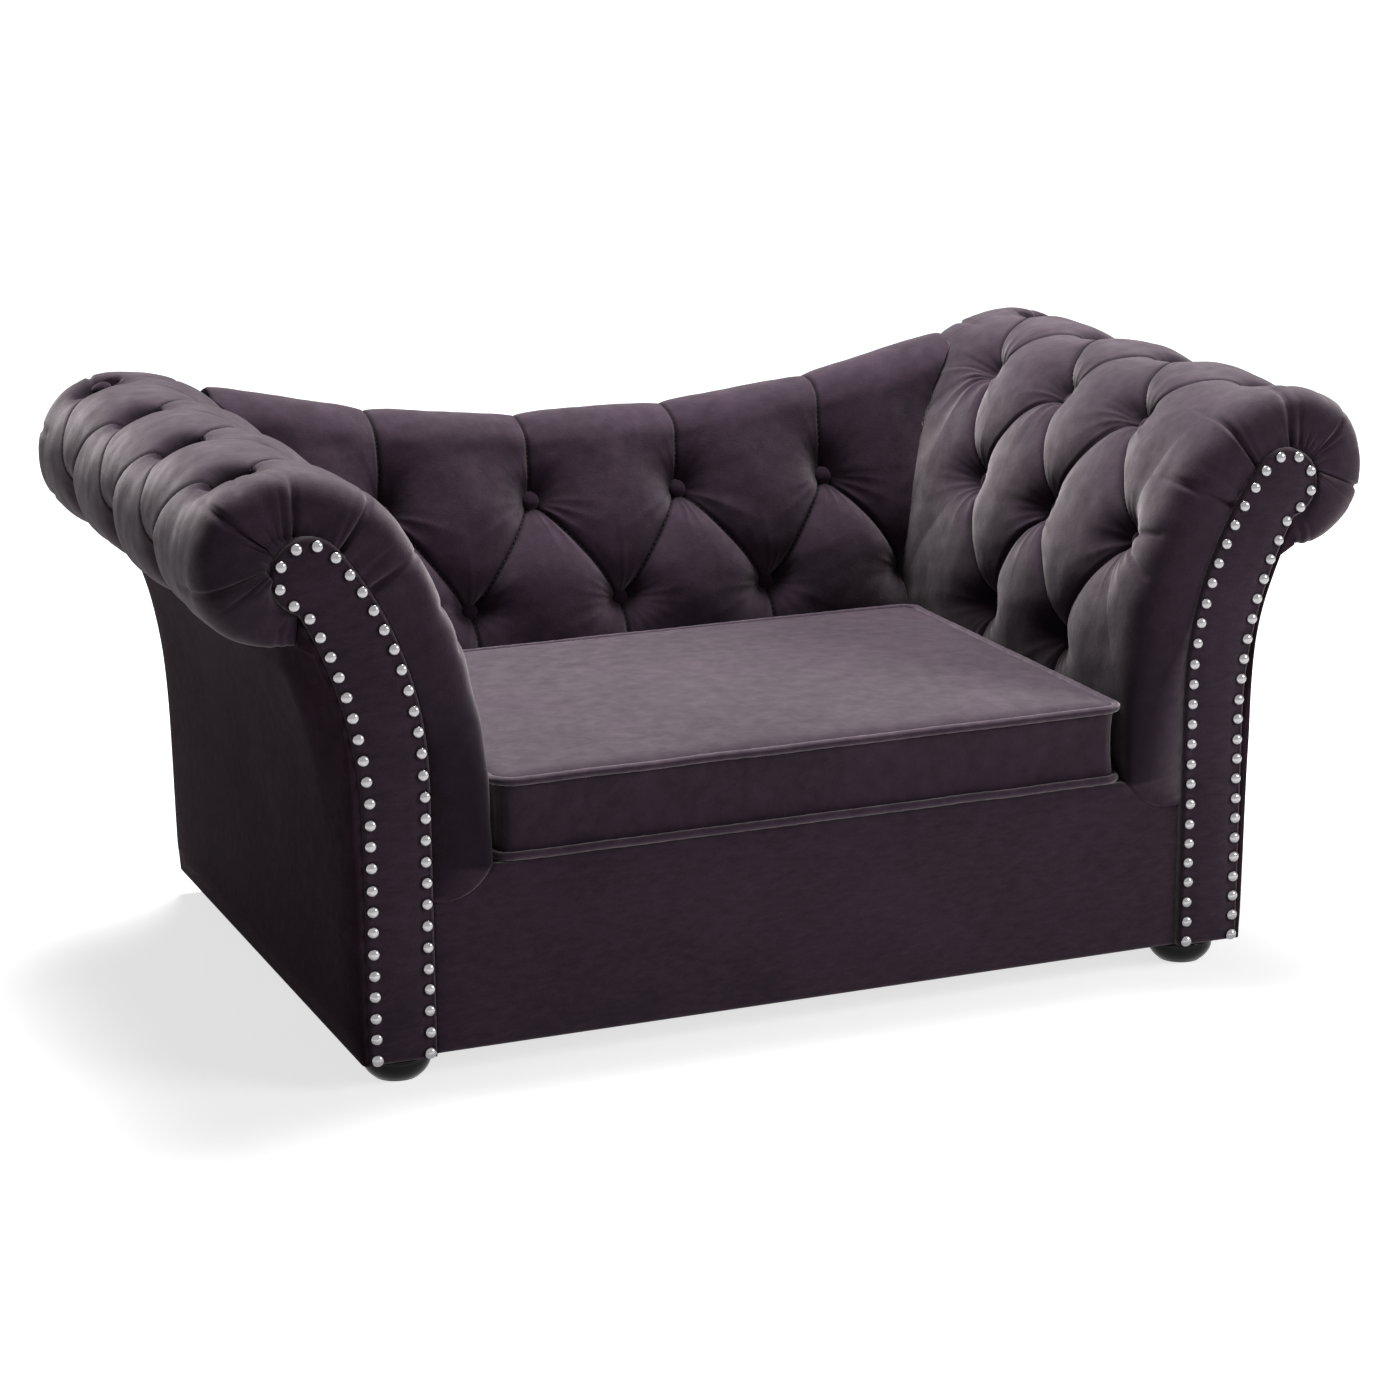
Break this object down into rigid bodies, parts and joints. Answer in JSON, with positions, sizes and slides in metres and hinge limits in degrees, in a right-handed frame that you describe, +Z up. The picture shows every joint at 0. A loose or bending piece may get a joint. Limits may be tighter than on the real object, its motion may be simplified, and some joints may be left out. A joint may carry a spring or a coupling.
{
  "type": "dog bed",
  "caption": "Low scroll-arm pet sofa with deep diamond tufting, domed nail trim, bun feet and a loose lift-out boxed cushion.",
  "frame": {"origin": "bottom centre of the bounding box, on the floor under the middle of the bed", "axes": "+X along the width, to the right as seen from the open front; +Y from the open front to the back rest; +Z up"},
  "size_m": [1.04, 0.584, 0.5098],
  "materials": {
    "velvet": "dark aubergine-charcoal velvet with a soft sheen",
    "foam": "open-cell upholstery foam",
    "lining_cloth": "black lining cloth, matt",
    "plywood": "raw birch plywood",
    "softwood": "raw planed pine",
    "black_lacquer": "black gloss lacquer",
    "nail_heads": "polished silver domes",
    "screw_steel": "zinc plated",
    "zip_tape": "dark woven tape with moulded teeth",
    "zip_metal": "dark painted metal"
  },
  "bodies": {
    "sofa": {"back_board": "plywood", "back_buttons": "velvet", "back_pad": "velvet", "back_rail": "softwood", "centre_rail": "softwood", "deck_cloth": "lining_cloth", "dust_cover": "lining_cloth", "foot_screws": "screw_steel", "front_cover": "velvet", "front_left_corner_block": "softwood", "front_left_foot": "black_lacquer", "front_rail": "softwood", "front_right_corner_block": "softwood", "front_right_foot": "black_lacquer", "left_arm_buttons": "velvet", "left_arm_liner": "plywood", "left_arm_pad": "velvet", "left_arm_rib": "plywood", "left_back_post": "plywood", "left_deck_cleat": "softwood", "left_facing": "velvet", "left_facing_nails": "nail_heads", "left_front_post": "plywood", "left_side_board": "plywood", "left_side_panel": "velvet", "left_side_rail": "softwood", "rear_left_corner_block": "softwood", "rear_left_foot": "black_lacquer", "rear_panel": "velvet", "rear_right_corner_block": "softwood", "rear_right_foot": "black_lacquer", "right_arm_buttons": "velvet", "right_arm_liner": "plywood", "right_arm_pad": "velvet", "right_arm_rib": "plywood", "right_back_post": "plywood", "right_deck_cleat": "softwood", "right_facing": "velvet", "right_facing_nails": "nail_heads", "right_front_post": "plywood", "right_side_board": "plywood", "right_side_panel": "velvet", "right_side_rail": "softwood", "seat_deck": "plywood"},
    "cushion": {"cushion_cover": "velvet", "cushion_foam": "foam", "cushion_top_welt": "velvet", "cushion_bottom_welt": "velvet", "cushion_zip": "zip_tape"},
    "slider": {"zip_slider": "zip_metal"}
  },
  "joints": [
    {"name": "cushion_lift", "type": "slide", "parent": "sofa", "child": "cushion", "axis": [0, 0, 1], "range_m": [0, 0.32]},
    {"name": "zip_slide", "type": "slide", "parent": "cushion", "child": "slider", "axis": [1, 0, 0], "range_m": [-0.37, 0]}
  ]
}
